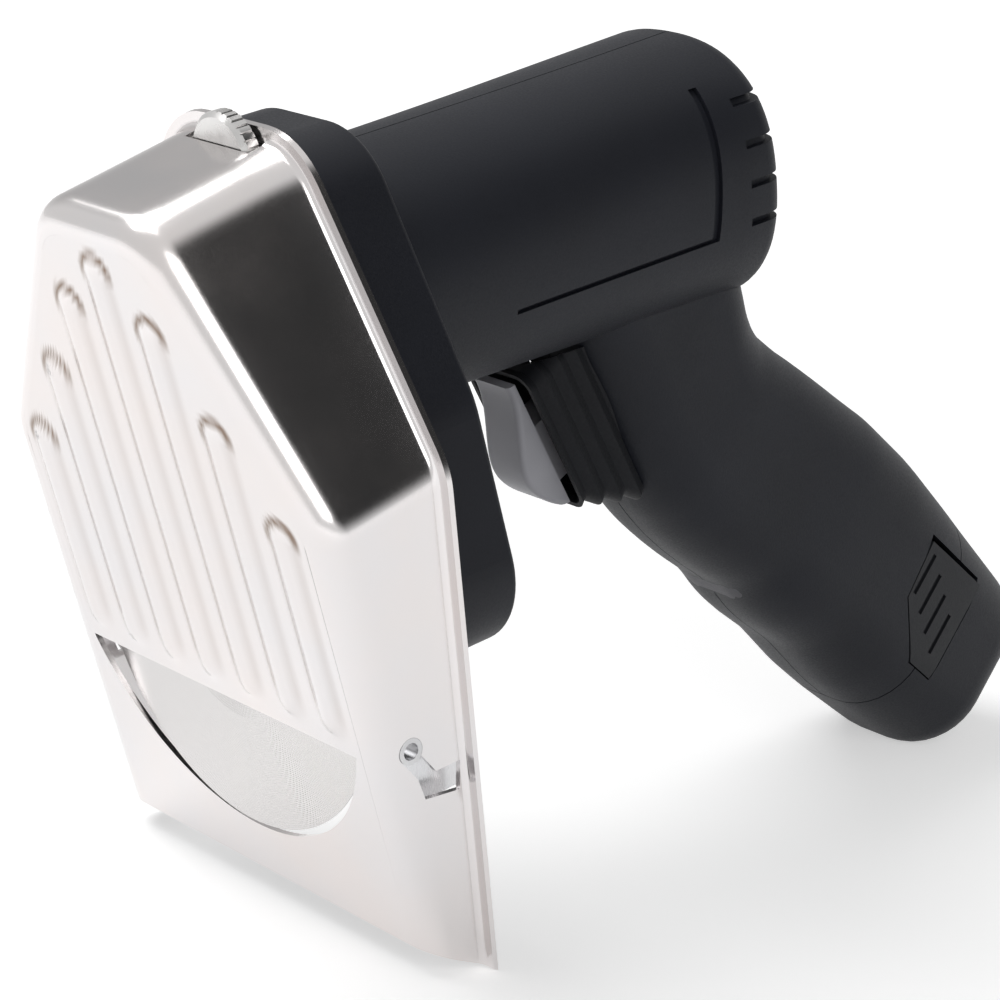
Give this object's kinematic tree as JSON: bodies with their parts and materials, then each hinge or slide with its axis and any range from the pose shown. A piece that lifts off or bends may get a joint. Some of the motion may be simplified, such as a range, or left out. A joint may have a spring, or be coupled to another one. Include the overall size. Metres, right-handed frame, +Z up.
{
  "type": "electric kebab slicer",
  "caption": "Hand-held battery kebab slicer: a round blade behind an arched guard with raised beads, a geared drive, a barrel over an angled grip with a trigger, and a battery pack in its end.",
  "frame": {"origin": "centre of the tool's footprint box, on the surface that it stands on: the guard's lower rim and the battery's heel", "axes": "+X to the user's right, +Y from the guard back towards the battery's end, +Z up; the blade's axis leans 11.2 degrees from +Y towards +Z"},
  "size_m": [0.0988, 0.247, 0.1559],
  "materials": {
    "stainless_sheet": "satin, pressed from sheet",
    "blade_steel": "ground, with circular grain",
    "bright_steel": "turned, plain zinc plated",
    "gear_steel": "cut, lightly oiled",
    "motor_steel": "drawn, nickel plated",
    "charcoal_housing": "fine moulded grain",
    "charcoal_gear_case": "fine moulded grain",
    "charcoal_battery": "fine moulded grain",
    "button_plastic": "fine moulded grain",
    "trigger_plastic": "satin moulded",
    "boot_rubber": "soft, matt",
    "seal_rubber": "soft, matt",
    "inner_plastic": "plain moulded",
    "motor_plastic": "plain moulded",
    "cell_sleeve": "shrunk film over the can",
    "ferrite": "sintered",
    "copper_wire": "enamelled",
    "brass_parts": "plain",
    "carbon": "sintered"
  },
  "bodies": {
    "handle": {"housing_left": "charcoal_housing", "housing_right": "charcoal_housing", "housing_screws": "bright_steel", "gear_case": "charcoal_gear_case", "gear_cover": "charcoal_gear_case", "cover_screws": "bright_steel", "motor_can": "motor_steel", "motor_end_bell": "motor_plastic", "motor_terminals": "brass_parts", "motor_bushings": "brass_parts", "motor_magnets": "ferrite", "motor_brushes": "carbon", "motor_screws": "bright_steel", "front_bearing_outer": "bright_steel", "rear_bearing_outer": "bright_steel", "shaft_seal": "seal_rubber", "idler_shaft": "bright_steel", "guard_bracket": "stainless_sheet", "bracket_screws": "bright_steel", "pivot_pins": "bright_steel", "adjuster_stud": "bright_steel", "switch_body": "inner_plastic", "trigger_spring": "bright_steel", "trigger_boot": "boot_rubber", "terminal_block": "inner_plastic"},
    "spindle": {"blade_shaft": "bright_steel", "output_gear": "gear_steel", "front_bearing_inner": "bright_steel", "rear_bearing_inner": "bright_steel", "blade": "blade_steel", "blade_washer": "bright_steel", "blade_nut": "bright_steel"},
    "idler": {"idler_gear": "gear_steel"},
    "rotor": {"motor_shaft": "bright_steel", "motor_armature": "motor_steel", "motor_windings": "copper_wire", "motor_commutator": "copper_wire", "motor_pinion": "gear_steel"},
    "guard": {"guard": "stainless_sheet"},
    "wheel": {"thumb_wheel": "bright_steel"},
    "trigger": {"trigger": "trigger_plastic"},
    "battery": {"battery_cap": "charcoal_battery", "battery_sleeve": "inner_plastic", "battery_cells": "cell_sleeve", "battery_contacts": "brass_parts"},
    "button_left": {"release_button_left": "button_plastic"},
    "button_right": {"release_button_right": "button_plastic"}
  },
  "joints": [
    {"name": "blade_spin", "type": "hinge", "parent": "handle", "child": "spindle", "pos_m": [0, -0.08973, 0.05585], "axis": [0, 0.9809, 0.1948], "continuous": true},
    {"name": "idler_spin", "type": "hinge", "parent": "handle", "child": "idler", "pos_m": [0, -0.0738, 0.08807], "axis": [0, 0.9809, 0.1948], "continuous": true},
    {"name": "motor_spin", "type": "hinge", "parent": "handle", "child": "rotor", "pos_m": [0, -0.04581, 0.11912], "axis": [0, 0.9809, 0.1948], "continuous": true},
    {"name": "guard_tilt", "type": "hinge", "parent": "handle", "child": "guard", "pos_m": [0, -0.08476, 0.04521], "axis": [1, 0, 0], "range_deg": [0, 3]},
    {"name": "wheel_turn", "type": "hinge", "parent": "guard", "child": "wheel", "pos_m": [0, -0.09447, 0.14136], "axis": [0, -0.9809, -0.1948], "range_deg": [0, 1800]},
    {"name": "trigger_pull", "type": "slide", "parent": "handle", "child": "trigger", "axis": [0, 0.8326, 0.5538], "range_m": [0, 0.0055], "stiffness_N_per_m": 600, "springref_m": -0.004, "deforming": ["trigger_boot", "trigger_spring"]},
    {"name": "battery_slide", "type": "slide", "parent": "handle", "child": "battery", "axis": [0, 0.8124, -0.5831], "range_m": [0, 0.06]},
    {"name": "button_left_press", "type": "slide", "parent": "battery", "child": "button_left", "axis": [1, 0, 0], "range_m": [0, 0.001], "stiffness_N_per_m": 1500, "springref_m": -0.001},
    {"name": "button_right_press", "type": "slide", "parent": "battery", "child": "button_right", "axis": [-1, 0, 0], "range_m": [0, 0.001], "stiffness_N_per_m": 1500, "springref_m": -0.001}
  ],
  "couplings": [
    {"joint": "idler_spin", "follows": "blade_spin", "ratio": -0.67647},
    {"joint": "motor_spin", "follows": "blade_spin", "ratio": 1.4375},
    {"joint": "guard_tilt", "follows": "wheel_turn", "ratio": 0.0016544}
  ]
}
